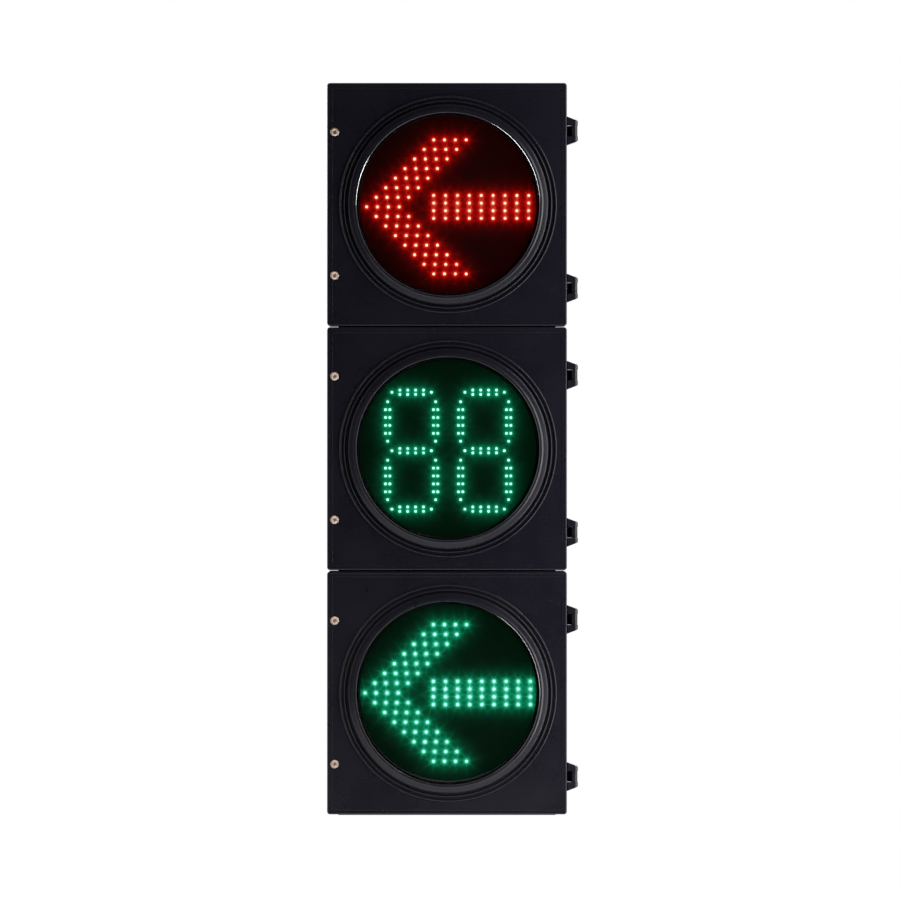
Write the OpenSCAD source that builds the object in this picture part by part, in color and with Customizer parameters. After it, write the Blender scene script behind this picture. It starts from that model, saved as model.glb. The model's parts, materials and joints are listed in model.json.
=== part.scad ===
// Three-section LED traffic signal head: stacked cast housings, hinged doors,
// round LED modules, captive door screws and one internal wiring harness.
// Millimetres. +X is the viewer's right, the front faces -Y, +Z is up.
// Origin: centre of the bolt pattern on the bottom face, at mid-depth of the housings.
// Distances called "front" are measured forward from the housings' mid-depth plane.

/* [Overall] */
// Width of housing and door
body_w = 540; // [520:1:660]
// Height of one section, joint to joint
section_h = 550; // [530:1:670]
// Depth of a housing casting, without its door
housing_d = 85; // [72:1:104]
// Depth of a door, from the housing's front edge to the door's flat face
door_d = 27; // [25:1:33]
// Wall thickness of the castings
wall = 3.5; // [3:0.1:4.2]
// Thickness of the top and bottom flanges
flange_t = 8; // [7:0.5:10]
// Height of the locating lip under each housing
lip_h = 3; // [2.5:0.1:3.6]
// Half length of that lip
lip_half = 245; // [205:1:255]
// Radius of the section corners
corner_r = 7; // [5:0.5:9]

/* [Door] */
// Visible radius of the lens
lens_r = 205; // [171:1:208]
// Sideways offset of the lens centre from the middle of the door
lens_x = 2.4; // [0:0.1:4]
// How far the lens collar stands forward of the door's face
collar_h = 13; // [10.5:0.5:15.5]
// Bevel around the door's front edge
bevel = 2.5; // [2:0.1:3]
// Gap between door and housing
door_gap = 0.5; // [0.4:0.1:1]

/* [Hinges] */
// Distance of the hinge axis outside the housing's side
hinge_out = 17; // [16:0.5:20]
// Radius of the rounded ear ends
ear_r = 8; // [7.5:0.1:9.5]
// Thickness of one ear
ear_t = 11.4; // [9.5:0.1:13.6]
// Height between the two ears
ear_gap = 25; // [21:0.5:30]
// Height of the upper hinge above the lens centre
hinge_up = 165.5; // [150:0.5:180]
// Depth of the lower hinge below the lens centre
hinge_down = 188.5; // [170:0.5:200]
// Radius of the hinge pins
pin_r = 4; // [3.4:0.1:4.8]
// Running clearance of a pin in the housing's barrel
pin_clear = 0.05; // [0.03:0.01:0.1]

/* [Door screws] */
// Distance of the screws from the door's left edge
screw_in = 17; // [16:0.5:20]
// Height of the upper screw above the lens centre
screw_up = 163; // [140:1:190]
// Depth of the lower screw below the lens centre
screw_down = 160; // [140:1:190]
// Radius of a screw's head
head_r = 9.5; // [8:0.1:10]
// Radius of a screw's shank
shank_r = 4; // [3.4:0.1:4.4]

/* [LED module] */
// Radius of one LED
led_r = 2.5; // [2.1:0.1:3]
// Thickness of the lens wall
lens_t = 3; // [2.5:0.1:3.6]
// Rise of the lens from its shoulder to its middle
lens_rise = 5; // [4:0.5:6]
// Depth of the module shell behind the housing's mid-depth plane
shell_back = 14; // [10:1:16]

/* [Hidden] */
$fn = 96;
eps = 0.1;

sections = [0, 1, 2];
half_w = body_w / 2;
half_d = housing_d / 2;
body_h = section_h - lip_h;
ring_up = lip_h + body_h / 2;
face = half_d + door_d;
plate_back = face - wall;
collar = face + collar_h;
rim_w = 12;
rim_t = 3;
cavity_w = body_w - 2 * wall;
cavity_h = body_h - 2 * flange_t;
opening_w = body_w - 2 * rim_w;
opening_h = body_h - 2 * rim_w;

bore_r = 30;
bolt_x = 60;
bolt_y = 25;
bolt_r = 5;
bolt_hole_r = 5.5;
seal_r = 33;
seal_w = 4;
seal_t = 3;

hinge_x = half_w + hinge_out;
hinge_front = face - ear_r;
ear_root = 270 - 255;
ear_slope = 8.5;
barrel_r = 7;
barrel_gap = 0.3;

screw_x = -half_w + screw_in;
pocket_r = 11.5;
pocket_depth = 5;
seat_front = face - pocket_depth;
seat_t = 4.5;
seat_gap = 0.3;
head_t = 5;
slot_w = 2.2;
slot_l = 11;
slot_depth = 2.2;
boss_r = 8.5;
screw_bore_r = 5;
screw_reach = 10.5;
ring_t = 1.5;
ring_r = 7.5;
ring_front = half_d + 4.5;
ring_clear = 0.05;

aperture_r = lens_r + 2;
module_r = lens_r + 11;
lens_gasket_t = 2;
lens_flange_t = 3;
shell_flange_t = 3;
lens_flange_front = plate_back - lens_gasket_t;
shell_flange_front = lens_flange_front - lens_flange_t;
clip_front = shell_flange_front - shell_flange_t;
clip_t = 2;
shell_t = 2.6;
shell_r = lens_r - 2;
shell_small_r = lens_r - 45;
shell_turn = 20;
board_r = shell_r - shell_t - 1.4;
board_front = half_d + 7;
board_t = 1.6;
led_h = 3;
led_base_r = led_r + 0.5;
led_base_h = 1;
arrow_lift = [-0.8, 0, -4.8];
arrow_size = [1.02, 1, 1];
digit_lift = -4.6;
symbol_scale = lens_r / 205;
clip_count = 8;
clip_r = module_r + 6;

wire_r = 3;
wire_y = 22;
lead_x = 60;
lead_z = -130;
lead_end_z = 60;
lead_side_x = half_w - 38;
connector_h = 25;
trunk_r = 5;
trunk_x = -8;
trunk_y = 22;
branch_z = 110;
trunk_low = 60;

function base_z(i) = i * section_h;
function centre_z(i) = base_z(i) + ring_up;

// A flat outline in X and Z, thickened from one distance in front to another.
module slab(from, to) {
  translate([0, -from, 0]) rotate([90, 0, 0]) linear_extrude(to - from) children();
}

// A profile of radius and front distance, turned around a lens axis.
module turned(i) {
  translate([lens_x, 0, centre_z(i)]) rotate([90, 0, 0]) rotate_extrude() children();
}

// A round bar pointing forward.
module rod(x, z, from, to, r) {
  translate([x, -from, z]) rotate([90, 0, 0]) cylinder(r = r, h = to - from);
}

// A rectangle with round corners, centred.
module round_rect(w, h, r) {
  square([w - 2 * r, h], center = true);
  square([w, h - 2 * r], center = true);
  for (x = [-1, 1]) {
    for (z = [-1, 1]) translate([x * (w / 2 - r), z * (h / 2 - r)]) circle(r);
  }
}

// The outline of a section, drawn in by an offset.
module outline(offset_in) {
  round_rect(body_w - 2 * offset_in, body_h - 2 * offset_in, max(corner_r - offset_in, 1));
}

// A rectangular frame between two insets from the section's edge.
module frame(i, outer, inner, from, to) {
  translate([0, 0, centre_z(i)]) slab(from, to) difference() {
    outline(outer);
    outline(inner);
  }
}

// The four bolt positions of a coupling flange.
module at_bolts() {
  for (x = [-bolt_x, bolt_x]) {
    for (y = [-bolt_y, bolt_y]) translate([x, y, 0]) children();
  }
}

// The heights of the two hinges.
function hinge_z(i) = [centre_z(i) + hinge_up, centre_z(i) - hinge_down];

// A cable: straight runs with round elbows.
module cable(points, r) {
  for (k = [0 : len(points) - 2]) {
    run = points[k + 1] - points[k];
    length = norm(run);
    turn_y = acos(run[2] / length);
    turn_z = atan2(run[1], run[0]);
    translate(points[k]) rotate([0, turn_y, turn_z]) cylinder(r = r, h = length);
  }
  for (k = [1 : len(points) - 2]) translate(points[k]) sphere(r);
}

// The housing's arm that carries a hinge barrel outside the door.
module hinge_arm() {
  barrel_h = ear_gap - 2 * barrel_gap;
  translate([0, 0, -barrel_h / 2]) linear_extrude(barrel_h) difference() {
    union() {
      translate([hinge_x, -hinge_front]) circle(barrel_r);
      polygon([
        [half_w - 1, -half_d],
        [half_w + door_gap, -half_d],
        [half_w + 1.5, -half_d - 3],
        [hinge_x - barrel_r + 1, -hinge_front + barrel_r - 2],
        [hinge_x - barrel_r, -hinge_front],
        [hinge_x + barrel_r, -hinge_front],
        [hinge_x + barrel_r - 1, -half_d],
        [half_w + 4, -half_d + 26],
        [half_w - 1, -half_d + 26]]);
    }
    translate([hinge_x, -hinge_front]) circle(pin_r + pin_clear);
  }
}

// Cast housing: open front with a rim, flanges with cable bore and bolt holes, screw
// bosses at the left and hinge arms at the right.
module housing(i) {
  z0 = base_z(i);
  zc = centre_z(i);
  color("#16151b") difference() {
    union() {
      difference() {
        translate([0, 0, zc]) slab(-half_d, half_d) outline(0);
        translate([0, 0, zc]) slab(wall - half_d, half_d - rim_t)
          round_rect(cavity_w, cavity_h, corner_r - wall + 1);
        translate([0, 0, zc]) slab(0, half_d + eps)
          round_rect(opening_w, opening_h, corner_r);
      }
      translate([-lip_half, -half_d, z0]) cube([2 * lip_half, housing_d, lip_h + 1]);
      for (z = [zc + screw_up, zc - screw_down]) {
        rod(screw_x, z, half_d - 24, half_d, boss_r);
        translate([-half_w + 1, -half_d, z - 2]) cube([screw_in - 1, 20, 4]);
      }
      for (z = hinge_z(i)) translate([0, 0, z]) hinge_arm();
    }
    for (z = [zc + screw_up, zc - screw_down])
      rod(screw_x, z, half_d - 18, half_d + eps, screw_bore_r);
    for (z = [z0 - eps, z0 + section_h - flange_t - eps])
      translate([0, 0, z]) cylinder(r = bore_r, h = flange_t + lip_h + 2 * eps);
    for (z = [z0 - eps, z0 + section_h - flange_t - eps])
      translate([0, 0, z]) at_bolts() cylinder(r = bolt_hole_r, h = flange_t + lip_h + 2 * eps);
    if (i < len(sections) - 1) {
      translate([0, 0, z0 + section_h - seal_t]) difference() {
        cylinder(r = seal_r + seal_w, h = seal_t + eps);
        translate([0, 0, -eps]) cylinder(r = seal_r, h = seal_t + 3 * eps);
      }
    }
    translate([0, 0, zc]) slab(-half_d - eps, 1.2 - half_d)
      round_rect(body_w - 70, body_h - 70, 12);
  }
}

// The raised rings around the lens, as a profile of radius and front distance.
module ring_profile() {
  bead = 2;
  outer_bead = lens_r + 37.5;
  inner_bead = lens_r + 27.4;
  translate([outer_bead, face]) circle(bead);
  translate([inner_bead, face + 1.5]) circle(bead);
  translate([inner_bead - bead, plate_back]) square([2 * bead, wall + 1.5]);
  polygon([
    [aperture_r, plate_back],
    [lens_r + 26, plate_back],
    [lens_r + 24, face + 0.6],
    [lens_r + 20.4, face + 0.6],
    [lens_r + 19.8, face + 2.5],
    [lens_r + 5.6, collar - 2],
    [lens_r + 4, collar],
    [lens_r + 2.6, collar],
    [aperture_r, collar - 0.8]]);
}

// One pair of hinge ears on a door's right edge.
module door_ears() {
  half = ear_gap / 2 + ear_t;
  intersection() {
    translate([0, 0, -half - 9]) linear_extrude(2 * half + 18) {
      translate([hinge_x, -hinge_front]) circle(ear_r);
      translate([half_w - ear_root, -face]) square([ear_root + hinge_out, 2 * ear_r]);
    }
    translate([0, -face + 2 * ear_r + 1, 0]) rotate([90, 0, 0]) linear_extrude(2 * ear_r + 2)
      polygon([
        [half_w - ear_root - 1, -half - ear_slope],
        [half_w, -half - ear_slope],
        [hinge_x + ear_r - 3, -half],
        [hinge_x + ear_r + 1, -half + 3],
        [hinge_x + ear_r + 1, half - 3],
        [hinge_x + ear_r - 3, half],
        [half_w, half + ear_slope],
        [half_w - ear_root - 1, half + ear_slope]]);
  }
}

// Cast door: bevelled face with the lens aperture and rings, skirt, gasket channel,
// screw pockets at the left, hinge ears at the right and clip bosses behind.
module door(i) {
  zc = centre_z(i);
  skirt_back = half_d + door_gap;
  channel_in = wall + 4;
  lug_r = lens_r + 0.5;
  color("#1b1a22") difference() {
    union() {
      translate([0, 0, zc]) slab(plate_back, face) difference() {
        outline(0);
        translate([lens_x, 0]) circle(aperture_r + 1);
      }
      frame(i, 0, wall, skirt_back, face - eps);
      frame(i, channel_in, channel_in + 2, half_d + 3.5, face - eps);
      frame(i, wall - eps, channel_in + eps, half_d + 7.5, half_d + 9.5);
      turned(i) ring_profile();
      turned(i) translate([module_r + 1, clip_front]) square([3, wall + face - plate_back + 3]);
      for (k = [0 : clip_count - 1]) {
        angle = (k + 0.5) * 360 / clip_count;
        rod(lens_x + clip_r * cos(angle), zc + clip_r * sin(angle), clip_front, face - 1, 5);
      }
      for (z = [zc + screw_up, zc - screw_down])
        rod(screw_x, z, seat_front - seat_t, face - eps, pocket_r + 2.5);
      for (z = hinge_z(i)) translate([0, 0, z]) door_ears();
      for (angle = [225, 270, 315])
        translate([lens_x, 0, zc]) rotate([0, -angle, 0])
          translate([lug_r - 1.7, -collar + 4, -1.8]) cube([3.6, 2, 3.6]);
    }
    for (side = [0, 180]) {
      for (far = [half_w, body_h / 2]) {
        turn = side + (far == half_w ? 0 : 90);
        translate([0, -face, zc]) rotate([0, turn, 0]) translate([far, 0, 0])
          rotate([0, 0, 45]) cube([bevel * sqrt(2), bevel * sqrt(2), body_w + section_h],
            center = true);
      }
    }
    for (z = [zc + screw_up, zc - screw_down]) {
      rod(screw_x, z, seat_front, face + eps, pocket_r);
      rod(screw_x, z, seat_front - seat_t - eps, face, shank_r + 0.4);
    }
    for (z = hinge_z(i)) {
      translate([hinge_x, -hinge_front, z - 60]) cylinder(r = pin_r, h = 120);
      translate([half_w + 1, -face - 1, z - ear_gap / 2]) cube([40, 40, ear_gap]);
      for (up = [0, 1]) {
        translate([hinge_x, -hinge_front, z]) mirror([0, 0, up])
          translate([0, 0, ear_gap / 2 + ear_t]) cylinder(r = pin_r + 2.4, h = 20);
      }
    }
    for (line_in = [7, 13])
      translate([half_w - line_in - 0.4, -face - eps, zc - body_h / 2 - 1])
        cube([0.8, 0.7 + eps, body_h + 2]);
  }
}

// Rubber gasket in the door's channel.
module door_gasket(i) {
  color("#101010") frame(i, wall, wall + 4, half_d + 0.3, half_d + 7.5);
}

// Moulded lens: shallow dome, rounded shoulder and clamped flange.
module lens(i, tint) {
  shoulder = 6;
  dome_in = lens_r + 1 - shoulder;
  shoulder_front = collar - lens_rise - 2.5;
  dome_r = (pow(dome_in, 2) + pow(lens_rise, 2)) / (2 * lens_rise);
  dome_centre = shoulder_front + lens_rise - dome_r;
  color(tint) turned(i) {
    intersection() {
      difference() {
        translate([0, dome_centre]) circle(dome_r, $fn = 720);
        translate([0, dome_centre]) circle(dome_r - lens_t, $fn = 720);
      }
      translate([0, shoulder_front - lens_t - 1]) square([dome_in, lens_rise + lens_t + 3]);
    }
    intersection() {
      translate([dome_in, shoulder_front - shoulder]) difference() {
        circle(shoulder);
        circle(shoulder - lens_t);
      }
      translate([dome_in - eps, shoulder_front - shoulder]) square([shoulder + 1, shoulder + 1]);
    }
    translate([dome_in + shoulder - lens_t, lens_flange_front - lens_flange_t])
      square([lens_t, shoulder_front - shoulder - lens_flange_front + lens_flange_t + 0.5]);
    translate([dome_in + shoulder - lens_t, lens_flange_front - lens_flange_t])
      square([module_r - dome_in - shoulder + lens_t, lens_flange_t]);
  }
}

// Flat gasket between the door's plate and the lens flange.
module lens_gasket(i) {
  color("#0c0c0c") turned(i)
    translate([aperture_r + 1, lens_flange_front]) square([module_r - aperture_r - 1, lens_gasket_t]);
}

// Printed circuit board that carries the LEDs.
module led_board(i) {
  color("#0b120e") difference() {
    rod(lens_x, centre_z(i), board_front - board_t, board_front, board_r);
    for (k = [0 : 5]) translate([lens_x, 0, centre_z(i)]) rotate([0, 60 * k + 30, 0])
      rod(board_r - 8, 0, board_front - board_t - eps, board_front + eps, 2);
  }
}

// One LED: base, body and domed end.
module led(i, x, z) {
  rod(x, z, board_front, board_front + led_base_h, led_base_r);
  rod(x, z, board_front, board_front + led_h, led_r);
  translate([x, -board_front - led_h, z]) sphere(led_r, $fn = 24);
}

// LEDs in the shape of an arrow pointing to the viewer's left.
module arrow_leds(i, tint) {
  rows = 7;
  row_step = 21.6;
  column_step = 24.4;
  tip_x = -183.5;
  shaft_x = -32.4;
  shaft_step = 26.8;
  shaft_row = 17.2;
  s = symbol_scale * arrow_size[i];
  z0 = centre_z(i) + arrow_lift[i];
  color(tint) {
    for (row = [-rows : rows]) {
      for (k = [0 : 3])
        led(i, lens_x + s * (tip_x + row_step * abs(row) + column_step * k), z0 + s * row_step * row);
    }
    for (column = [0 : 8]) {
      for (k = [-1.5 : 1.5])
        led(i, lens_x + s * (shaft_x + shaft_step * column), z0 + s * shaft_row * k);
    }
  }
}

// LEDs in the shape of two seven-bar digits.
module digit_leds(i, tint) {
  digit_x = [-82.1, 82.5];
  half_digit = 54.1;
  bar_z = 131.8;
  pair_gap = 4.95;
  steps = [[-44.5, 0], [-26.7, 1], [-8.9, 1], [8.9, 1], [26.7, 1], [44.5, 0]];
  s = symbol_scale;
  z0 = centre_z(i) + digit_lift;
  color(tint) for (cx = digit_x) for (step = steps) for (side = [-step[1] : 2 : step[1]]) {
    for (bar = [-1, 0, 1])
      led(i, lens_x + s * (cx + step[0]), z0 + s * (bar * bar_z + side * pair_gap));
    for (upright = [-1, 1]) for (bar = [-0.5, 0.5])
      led(i, lens_x + s * (cx + upright * half_digit + side * pair_gap),
        z0 + s * (bar * bar_z + step[0]));
  }
}

// Moulded bowl that closes the module behind the board, with board posts and a cable exit.
module module_shell(i) {
  zc = centre_z(i);
  color("#1d1d20") difference() {
    union() {
      turned(i) polygon([
        [module_r, shell_flange_front],
        [module_r, clip_front],
        [shell_r, clip_front],
        [shell_r, shell_turn],
        [shell_small_r, -shell_back],
        [0, -shell_back],
        [0, shell_t - shell_back],
        [shell_small_r - 1, shell_t - shell_back],
        [shell_r - shell_t, shell_turn + 1],
        [shell_r - shell_t, shell_flange_front]]);
      for (k = [0 : 5]) translate([lens_x, 0, zc]) rotate([0, 60 * k + 30, 0])
        rod(board_r - 8, 0, shell_turn - 6, board_front - board_t, 4);
    }
    rod(lens_x + lead_x, zc + lead_z, -shell_back - eps, 0, wire_r + 0.3);
  }
}

// Power converter: board, case, heat fins and two capacitors inside the bowl.
module driver(i) {
  zc = centre_z(i);
  back = shell_t - shell_back;
  color("#8d9094") {
    translate([lens_x - 70, -back - 4, zc - 45]) cube([140, 4, 90]);
    translate([lens_x - 62, -back - 26, zc - 38]) cube([74, 22, 76]);
    for (k = [0 : 5])
      translate([lens_x - 60 + 13 * k, -back - 32, zc - 38]) cube([3, 6, 76]);
    for (z = [-18, 18]) rod(lens_x + 44, zc + z, back + 4, back + 24, 11);
  }
}

// Spring clips that hold the module's flanges against the door.
module module_clips(i) {
  color("#9a9ca0") for (k = [0 : clip_count - 1]) {
    translate([lens_x, 0, centre_z(i)]) rotate([0, -(k + 0.5) * 360 / clip_count, 0]) {
      translate([module_r - 9, -clip_front, -7]) cube([20, clip_t, 14]);
      rod(clip_r, 0, clip_front - clip_t - 2.4, clip_front - clip_t, 3.6);
    }
  }
}

// Two hinge pins, each with a head over the upper ear.
module hinge_pins(i) {
  length = ear_gap + 2 * ear_t;
  color("#a9abad") for (z = hinge_z(i)) translate([hinge_x, -hinge_front, z - length / 2]) {
    cylinder(r = pin_r, h = length);
    translate([0, 0, length]) cylinder(r = pin_r + 1.6, h = 1.6);
  }
}

// Captive door screw with a crossed slot.
module door_screw(z) {
  head_back = seat_front + seat_gap;
  head_front = head_back + head_t;
  color("#a5968a") difference() {
    union() {
      rod(screw_x, z, half_d - screw_reach, head_back + 1, shank_r);
      rod(screw_x, z, head_back, head_front - 1, head_r);
      translate([screw_x, 1 - head_front, z]) rotate([90, 0, 0])
        cylinder(r1 = head_r, r2 = head_r - 1, h = 1);
    }
    for (turn = [0, 90]) translate([screw_x, -head_front, z]) rotate([0, turn + 20, 0])
      cube([slot_l, 2 * slot_depth, slot_w], center = true);
  }
}

// Retaining ring that keeps a door screw captive behind the door's seat.
module retaining_ring(z) {
  color("#7d7f82") difference() {
    rod(screw_x, z, ring_front - ring_t, ring_front, ring_r);
    rod(screw_x, z, ring_front - ring_t - eps, ring_front + eps, shank_r + ring_clear);
  }
}

// Flexible lead from the module to the connector at the hinge side.
module lead(i) {
  zc = centre_z(i);
  color("#2a2a2c") cable([
    [lens_x + lead_x, shell_back - 1, zc + lead_z],
    [lens_x + lead_x, wire_y + 4, zc + lead_z],
    [lead_side_x, wire_y + 4, zc + lead_z],
    [lead_side_x, wire_y + 4, zc + lead_end_z - 0.3]], wire_r);
}

// Bolts that join neighbouring housings.
module coupling_bolts() {
  grip = flange_t + lip_h + flange_t;
  color("#b4b6b8") for (i = [1, 2]) translate([0, 0, base_z(i) - flange_t]) at_bolts() {
    translate([0, 0, -6.4]) cylinder(r = 9.2, h = 6.4, $fn = 6);
    translate([0, 0, -1]) cylinder(r = bolt_r, h = grip + 14);
  }
}

// Plain washers over the coupling bolts.
module coupling_washers() {
  color("#c2c4c6") for (i = [1, 2]) translate([0, 0, base_z(i) + lip_h + flange_t]) at_bolts()
    difference() {
      cylinder(r = 10, h = 2);
      translate([0, 0, -eps]) cylinder(r = bolt_r + 0.2, h = 2 + 2 * eps);
    }
}

// Nuts over the coupling bolts.
module coupling_nuts() {
  color("#b4b6b8") for (i = [1, 2]) translate([0, 0, base_z(i) + lip_h + flange_t + 2]) at_bolts()
    difference() {
      cylinder(r = 9.2, h = 8, $fn = 6);
      translate([0, 0, -eps]) cylinder(r = bolt_r, h = 8 + 2 * eps);
    }
}

// Ring seals around the cable bores between sections.
module coupling_gaskets() {
  color("#121212") for (i = [1, 2]) translate([0, 0, base_z(i) - seal_t]) difference() {
    cylinder(r = seal_r + seal_w, h = seal_t);
    translate([0, 0, -eps]) cylinder(r = seal_r, h = seal_t + 2 * eps);
  }
}

ways = 12;
way_step = 9;
block_x = -half_w + 38;
block_z = 26;
block_d = 26;
block_y = half_d - wall - block_d;

// Terminal block on the bottom housing's back wall.
module terminal_block() {
  color("#c9c6bb") difference() {
    translate([block_x, block_y, block_z]) cube([ways * way_step, block_d, 30]);
    for (k = [0 : ways - 1]) translate([block_x + (k + 0.5) * way_step, 0, block_z]) {
      translate([0, block_y - eps, 15]) rotate([-90, 0, 0]) cylinder(r = 3, h = 10 + eps);
      translate([-2.5, block_y + 8, 24]) cube([5, 8, 6 + eps]);
      translate([-2.5, block_y + 8, -eps]) cube([5, 8, 6 + eps]);
    }
  }
}

// Clamping screws of the terminal block.
module terminal_screws() {
  color("#c8b878") for (k = [0 : ways - 1]) {
    translate([block_x + (k + 0.5) * way_step, block_y + 10, block_z + 15]) rotate([90, 0, 0])
      difference() {
        cylinder(r = 2.8, h = 6);
        translate([0, 0, 6]) cube([0.9, 6, 2.4], center = true);
      }
  }
}

// Wiring trunk down through the cable bores, with a branch to each section's connector.
module harness() {
  color("#232325") {
    cable([
      [trunk_x, trunk_y, centre_z(2) + branch_z + 20],
      [trunk_x, trunk_y, block_z + 62],
      [block_x + 54, trunk_y, block_z + 62],
      [block_x + 54, trunk_y, block_z + 30.3]], trunk_r);
    for (i = sections) cable([
      [trunk_x, wire_y + 4, centre_z(i) + branch_z],
      [lead_side_x, wire_y + 4, centre_z(i) + branch_z],
      [lead_side_x, wire_y + 4, centre_z(i) + lead_end_z + connector_h]], wire_r);
  }
}

// Plug-in connectors between the leads and the harness, seated on the back walls.
module connectors() {
  color("#d8d6cf") for (i = sections)
    translate([lead_side_x - 9, wire_y - 3, centre_z(i) + lead_end_z])
      cube([18, half_d - wall - wire_y + 3, connector_h]);
}

// Cable gland in the top bore: flanged body with a clear way through.
gland_bore_r = 12;
module cable_gland() {
  top = 3 * section_h;
  color("#1c1c1e") difference() {
    union() {
      translate([0, 0, top - flange_t]) cylinder(r = bore_r, h = flange_t);
      translate([0, 0, top - flange_t - 4]) cylinder(r = bore_r + 5, h = 4);
      translate([0, 0, top - flange_t - 14]) cylinder(r = 19, h = 11);
    }
    translate([0, 0, top - flange_t - 15]) cylinder(r = gland_bore_r, h = flange_t + 16);
  }
}

// Blanking plug in the bottom bore.
module bottom_plug() {
  color("#1c1c1e") {
    cylinder(r = bore_r, h = lip_h + flange_t);
    translate([0, 0, lip_h + flange_t]) cylinder(r = bore_r + 5, h = 4);
  }
}

// Earthing stud with nut on the bottom housing's back wall.
module earth_stud() {
  color("#c8a860") translate([half_w - 40, half_d - wall, 60]) rotate([90, 0, 0]) {
    cylinder(r = 3, h = 18);
    cylinder(r = 5.8, h = 5, $fn = 6);
  }
}

red_lens = [0.35, 0.02, 0.02, 0.6];
green_lens = [0.02, 0.2, 0.12, 0.6];
red_led = "#ff4a30";
green_led = "#7dffc8";

housing(0);  // housing_bottom
housing(1);  // housing_middle
housing(2);  // housing_top
door(0);  // door_bottom
door(1);  // door_middle
door(2);  // door_top
door_gasket(0);  // door_gasket_bottom
door_gasket(1);  // door_gasket_middle
door_gasket(2);  // door_gasket_top
lens(0, green_lens);  // lens_bottom
lens(1, green_lens);  // lens_middle
lens(2, red_lens);  // lens_top
lens_gasket(0);  // lens_gasket_bottom
lens_gasket(1);  // lens_gasket_middle
lens_gasket(2);  // lens_gasket_top
led_board(0);  // led_board_bottom
led_board(1);  // led_board_middle
led_board(2);  // led_board_top
arrow_leds(0, green_led);  // leds_bottom
digit_leds(1, green_led);  // leds_middle
arrow_leds(2, red_led);  // leds_top
module_shell(0);  // module_shell_bottom
module_shell(1);  // module_shell_middle
module_shell(2);  // module_shell_top
driver(0);  // driver_bottom
driver(1);  // driver_middle
driver(2);  // driver_top
module_clips(0);  // module_clips_bottom
module_clips(1);  // module_clips_middle
module_clips(2);  // module_clips_top
hinge_pins(0);  // hinge_pins_bottom
hinge_pins(1);  // hinge_pins_middle
hinge_pins(2);  // hinge_pins_top
door_screw(centre_z(0) + screw_up);  // screw_upper_bottom
door_screw(centre_z(1) + screw_up);  // screw_upper_middle
door_screw(centre_z(2) + screw_up);  // screw_upper_top
door_screw(centre_z(0) - screw_down);  // screw_lower_bottom
door_screw(centre_z(1) - screw_down);  // screw_lower_middle
door_screw(centre_z(2) - screw_down);  // screw_lower_top
retaining_ring(centre_z(0) + screw_up);  // ring_upper_bottom
retaining_ring(centre_z(1) + screw_up);  // ring_upper_middle
retaining_ring(centre_z(2) + screw_up);  // ring_upper_top
retaining_ring(centre_z(0) - screw_down);  // ring_lower_bottom
retaining_ring(centre_z(1) - screw_down);  // ring_lower_middle
retaining_ring(centre_z(2) - screw_down);  // ring_lower_top
lead(0);  // lead_bottom
lead(1);  // lead_middle
lead(2);  // lead_top
coupling_bolts();
coupling_washers();
coupling_nuts();
coupling_gaskets();
terminal_block();
terminal_screws();
harness();
connectors();
cable_gland();
bottom_plug();
earth_stud();
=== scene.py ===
"""Visible surfaces, finishes, light and camera of a three-section LED signal head."""
import json
import math

import bmesh
import bpy
import numpy as np
from bpy.props import FloatProperty, IntProperty, PointerProperty, StringProperty
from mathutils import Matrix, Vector

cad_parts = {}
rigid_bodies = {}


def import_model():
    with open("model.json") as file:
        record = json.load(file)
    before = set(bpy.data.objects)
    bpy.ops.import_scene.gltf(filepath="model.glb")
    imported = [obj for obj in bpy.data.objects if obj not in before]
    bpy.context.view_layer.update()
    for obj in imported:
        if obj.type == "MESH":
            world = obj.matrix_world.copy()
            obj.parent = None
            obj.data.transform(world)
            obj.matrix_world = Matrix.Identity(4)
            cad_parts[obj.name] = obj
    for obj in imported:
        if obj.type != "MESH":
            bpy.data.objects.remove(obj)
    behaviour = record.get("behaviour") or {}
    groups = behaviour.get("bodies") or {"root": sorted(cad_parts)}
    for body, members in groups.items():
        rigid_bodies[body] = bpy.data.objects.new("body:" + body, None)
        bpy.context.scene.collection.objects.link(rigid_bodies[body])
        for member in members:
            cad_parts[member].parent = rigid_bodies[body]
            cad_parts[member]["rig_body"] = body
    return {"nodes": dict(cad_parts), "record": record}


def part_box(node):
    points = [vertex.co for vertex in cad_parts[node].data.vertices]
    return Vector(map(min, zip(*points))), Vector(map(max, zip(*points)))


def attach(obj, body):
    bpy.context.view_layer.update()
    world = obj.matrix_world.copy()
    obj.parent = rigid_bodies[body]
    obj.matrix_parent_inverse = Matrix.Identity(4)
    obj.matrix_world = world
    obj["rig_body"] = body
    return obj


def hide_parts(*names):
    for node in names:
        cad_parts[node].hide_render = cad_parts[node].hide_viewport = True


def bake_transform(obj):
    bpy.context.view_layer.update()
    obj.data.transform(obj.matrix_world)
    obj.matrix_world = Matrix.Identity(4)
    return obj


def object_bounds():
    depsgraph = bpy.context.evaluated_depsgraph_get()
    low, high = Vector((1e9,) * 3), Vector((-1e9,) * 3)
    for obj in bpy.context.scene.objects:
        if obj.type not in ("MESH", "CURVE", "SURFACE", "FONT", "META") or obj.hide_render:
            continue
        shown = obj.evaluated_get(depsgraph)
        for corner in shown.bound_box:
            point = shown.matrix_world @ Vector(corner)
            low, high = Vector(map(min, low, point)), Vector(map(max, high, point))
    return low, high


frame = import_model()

CAD_BOX = [list(corner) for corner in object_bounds()]

bl_info = {
    "name": "Signal head surfaces",
    "version": (1, 0, 0),
    "blender": (4, 5, 0),
    "location": "3D View > Sidebar > Signal head",
    "description": "Builds the castings, bezels, lenses, lamps, wiring and stage of a signal head",
    "category": "Object",
}

SECTIONS = ("bottom", "middle", "top")
MM = 0.001
# Depth from the front of a door's gasket to the door's flat face.
GASKET_TO_FACE = 19.5 * MM


# ---------------------------------------------------------------- sizes and colours


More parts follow.
